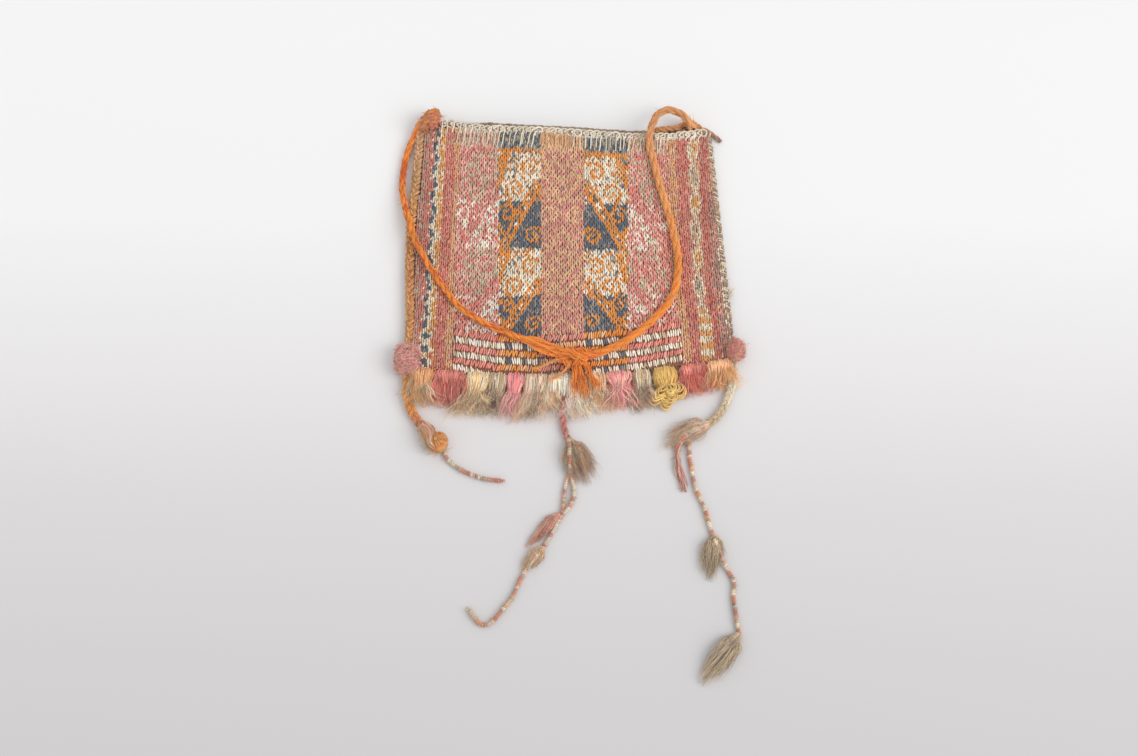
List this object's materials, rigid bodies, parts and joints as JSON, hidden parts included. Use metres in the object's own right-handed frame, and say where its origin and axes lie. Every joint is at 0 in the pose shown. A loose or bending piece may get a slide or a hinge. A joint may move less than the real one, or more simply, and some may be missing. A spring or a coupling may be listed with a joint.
{
  "type": "woven wool bag",
  "caption": "Small flat wool pouch woven in coloured bands, open at the top, with a knotted carrying cord, tufts along the bottom fold and tasselled tails",
  "frame": {"origin": "On the surface the bag lies on, under the middle of the back cloth", "axes": "+X to the right seam seen from the front, +Y from the bottom fold to the mouth, +Z out of the front cloth"},
  "size_m": [0.145, 0.2418, 0.0131],
  "materials": {
    "woven_cloth": "matte wool",
    "russet_wool": "matte wool",
    "cream_wool": "matte wool",
    "orange_wool": "matte wool",
    "ochre_wool": "matte wool",
    "red_wool": "matte wool",
    "grey_wool": "matte wool",
    "pink_wool": "matte wool",
    "fawn_wool": "matte wool",
    "white_wool": "matte wool",
    "beige_wool": "matte wool",
    "rose_wool": "matte wool",
    "yellow_wool": "matte wool",
    "peach_wool": "matte wool"
  },
  "bodies": {
    "root": {"bag_body": "woven_cloth", "strap_left_wrap": "russet_wool", "mouth_edging": "cream_wool", "left_side_braid": "orange_wool", "right_side_seam": "cream_wool", "strap_left": "orange_wool", "strap_right_hitch": "russet_wool", "strap_right": "orange_wool", "strap_right_tuck": "russet_wool", "strap_right_stub": "russet_wool", "front_knot": "orange_wool", "knot_tail_left": "orange_wool", "knot_tail_middle": "orange_wool", "knot_tail_right": "orange_wool", "tuft_01_ochre": "ochre_wool", "tuft_02_red": "red_wool", "tuft_03_cream": "cream_wool", "tuft_04_grey": "grey_wool", "tuft_05_pink": "pink_wool", "tuft_06_fawn": "fawn_wool", "tuft_07_white": "white_wool", "tuft_08_cream": "cream_wool", "tuft_09_beige": "beige_wool", "tuft_10_pink": "rose_wool", "tuft_11_grey": "grey_wool", "tuft_12_yellow": "yellow_wool", "tuft_13_red": "red_wool", "tuft_14_peach": "peach_wool", "corner_tuft_left": "rose_wool", "corner_tuft_right": "rose_wool", "left_tail_cord": "ochre_wool", "left_tail_ball": "orange_wool", "left_tail_thread": "rose_wool", "centre_tail_cord": "red_wool", "centre_tassel_1": "fawn_wool", "centre_tail_thread": "rose_wool", "centre_tail_strand": "peach_wool", "centre_tassel_2": "pink_wool", "centre_tassel_3": "beige_wool", "centre_tail_end": "rose_wool", "right_tail_cord": "cream_wool", "right_tassel_1": "beige_wool", "right_tail_thread_1": "rose_wool", "right_tail_strand": "pink_wool", "right_tassel_2": "grey_wool", "right_tail_thread_2": "rose_wool", "right_tassel_3": "beige_wool"}
  },
  "joints": []
}
